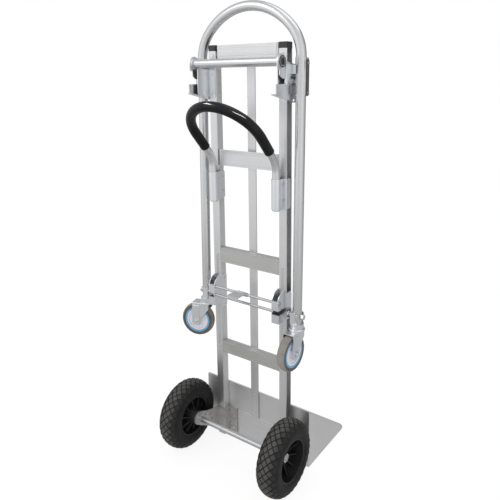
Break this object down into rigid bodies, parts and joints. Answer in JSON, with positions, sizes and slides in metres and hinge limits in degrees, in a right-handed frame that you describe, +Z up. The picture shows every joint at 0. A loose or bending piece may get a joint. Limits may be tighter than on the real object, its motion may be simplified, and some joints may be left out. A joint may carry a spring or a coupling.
{
  "type": "convertible hand truck",
  "caption": "Upright two-wheel hand truck whose loop handle swings and slides out on swivel casters to make a four-wheel platform truck.",
  "frame": {"origin": "floor level, midway between the wheels, at the foot of the nose plate's load face", "axes": "+Z up along the rails, +Y towards the load and the tip of the nose plate, +X to the right seen from behind"},
  "size_m": [0.5455, 0.5499, 1.5899],
  "materials": {
    "extruded_aluminium": "brushed anodised extrusion and plate",
    "mill_aluminium": "mill-finish extrusion, slightly dull",
    "cast_aluminium": "fine sand-cast surface",
    "black_plastic": "moulded black end caps",
    "zinc_steel": "bright zinc-plated pressed steel",
    "bright_steel": "bright zinc-plated fasteners",
    "satin_tube": "satin drawn aluminium tube",
    "cast_collar": "cast and machined aluminium",
    "grip_vinyl": "glossy black dipped vinyl",
    "dark_strip": "dark nylon wear strip",
    "tyre_rubber": "black rubber with a block tread",
    "wheel_hub_plastic": "moulded black nylon",
    "caster_rubber": "grey-brown thermoplastic rubber",
    "caster_band_plastic": "light blue polyolefin ring",
    "caster_hub_plastic": "off-white polyolefin hub"
  },
  "bodies": {
    "truck_frame": {"rail_left": "extruded_aluminium", "rail_right": "extruded_aluminium", "rail_cap_left": "black_plastic", "rail_cap_right": "black_plastic", "cross_brace_top": "extruded_aluminium", "cross_brace_upper": "extruded_aluminium", "cross_brace_middle": "mill_aluminium", "cross_brace_lower": "mill_aluminium", "centre_strap": "extruded_aluminium", "nose_plate": "extruded_aluminium", "axle_bracket_left": "cast_aluminium", "axle_bracket_right": "cast_aluminium", "axle": "zinc_steel", "axle_washers_and_nuts": "zinc_steel", "top_bracket_left": "zinc_steel", "top_bracket_right": "zinc_steel", "rail_doubler_plates": "extruded_aluminium", "top_cross_tube": "zinc_steel", "rear_handle_tube": "satin_tube", "rear_handle_grip": "grip_vinyl", "rear_handle_clamp_left": "zinc_steel", "rear_handle_clamp_right": "zinc_steel", "rear_handle_bolts": "bright_steel", "catch_bracket_left": "zinc_steel", "catch_bracket_right": "zinc_steel", "lock_rod": "zinc_steel", "pedal_rod": "zinc_steel", "pedal_spring": "bright_steel", "frame_rivets": "bright_steel"},
    "handle_collars": {"pivot_collar_left": "cast_collar", "pivot_collar_right": "cast_collar", "collar_wear_strips": "dark_strip", "collar_screws": "bright_steel"},
    "loop_frame": {"loop_handle": "satin_tube", "foot_clamp_left": "zinc_steel", "foot_clamp_right": "zinc_steel", "foot_bolts": "bright_steel", "caster_stem_left": "zinc_steel", "caster_stem_right": "zinc_steel"},
    "caster_left": {"caster_fork_left": "zinc_steel", "caster_axle_left": "bright_steel"},
    "caster_wheel_left": {"caster_tyre_left": "caster_rubber", "caster_band_left": "caster_band_plastic", "caster_hub_left": "caster_hub_plastic", "caster_bush_left": "caster_hub_plastic"},
    "wheel_left": {"wheel_tyre_left": "tyre_rubber", "wheel_hub_left": "wheel_hub_plastic", "wheel_bearings_left": "bright_steel"},
    "latch_left": {"latch_hook_left": "zinc_steel"},
    "caster_right": {"caster_fork_right": "zinc_steel", "caster_axle_right": "bright_steel"},
    "caster_wheel_right": {"caster_tyre_right": "caster_rubber", "caster_band_right": "caster_band_plastic", "caster_hub_right": "caster_hub_plastic", "caster_bush_right": "caster_hub_plastic"},
    "wheel_right": {"wheel_tyre_right": "tyre_rubber", "wheel_hub_right": "wheel_hub_plastic", "wheel_bearings_right": "bright_steel"},
    "latch_right": {"latch_hook_right": "zinc_steel"},
    "pedal": {"release_pedal": "zinc_steel"}
  },
  "joints": [
    {"name": "handle_swing", "type": "hinge", "parent": "truck_frame", "child": "handle_collars", "pos_m": [0, -0.0221, 1.342], "axis": [-1, 0, 0], "range_deg": [0, 89]},
    {"name": "handle_slide", "type": "slide", "parent": "handle_collars", "child": "loop_frame", "axis": [0, 0.0175, 0.9998], "range_m": [0, 0.7]},
    {"name": "caster_swivel_left", "type": "hinge", "parent": "loop_frame", "child": "caster_left", "pos_m": [-0.195, -0.03604, 0.54312], "axis": [0, 0.0175, 0.9998], "range_deg": [-127, 92]},
    {"name": "caster_swivel_right", "type": "hinge", "parent": "loop_frame", "child": "caster_right", "pos_m": [0.195, -0.03604, 0.54312], "axis": [0, 0.0175, 0.9998], "range_deg": [-17, 198]},
    {"name": "caster_spin_left", "type": "hinge", "parent": "caster_left", "child": "caster_wheel_left", "pos_m": [-0.22943, -0.0479, 0.46732], "axis": [0.2924, -0.9562, 0.0167], "continuous": true},
    {"name": "caster_spin_right", "type": "hinge", "parent": "caster_right", "child": "caster_wheel_right", "pos_m": [0.19374, -0.07334, 0.46776], "axis": [0.9994, -0.0349, 0.0006], "continuous": true},
    {"name": "wheel_spin_left", "type": "hinge", "parent": "truck_frame", "child": "wheel_left", "pos_m": [-0.214, -0.1461, 0.127], "axis": [1, 0, 0], "continuous": true},
    {"name": "wheel_spin_right", "type": "hinge", "parent": "truck_frame", "child": "wheel_right", "pos_m": [0.214, -0.1461, 0.127], "axis": [1, 0, 0], "continuous": true},
    {"name": "pedal_press", "type": "hinge", "parent": "truck_frame", "child": "pedal", "pos_m": [-0.0085, -0.0721, 0.627], "axis": [1, 0, 0], "range_deg": [0, 30], "stiffness_Nm_per_rad": 1.5, "springref_deg": -8.59},
    {"name": "latch_left_turn", "type": "hinge", "parent": "truck_frame", "child": "latch_left", "pos_m": [-0.1725, -0.0571, 1.372], "axis": [-1, 0, 0], "range_deg": [0, 20], "stiffness_Nm_per_rad": 0.5, "springref_deg": -5.73},
    {"name": "latch_right_turn", "type": "hinge", "parent": "truck_frame", "child": "latch_right", "pos_m": [0.1725, -0.0571, 1.372], "axis": [-1, 0, 0], "range_deg": [0, 20], "stiffness_Nm_per_rad": 0.5, "springref_deg": -5.73}
  ]
}
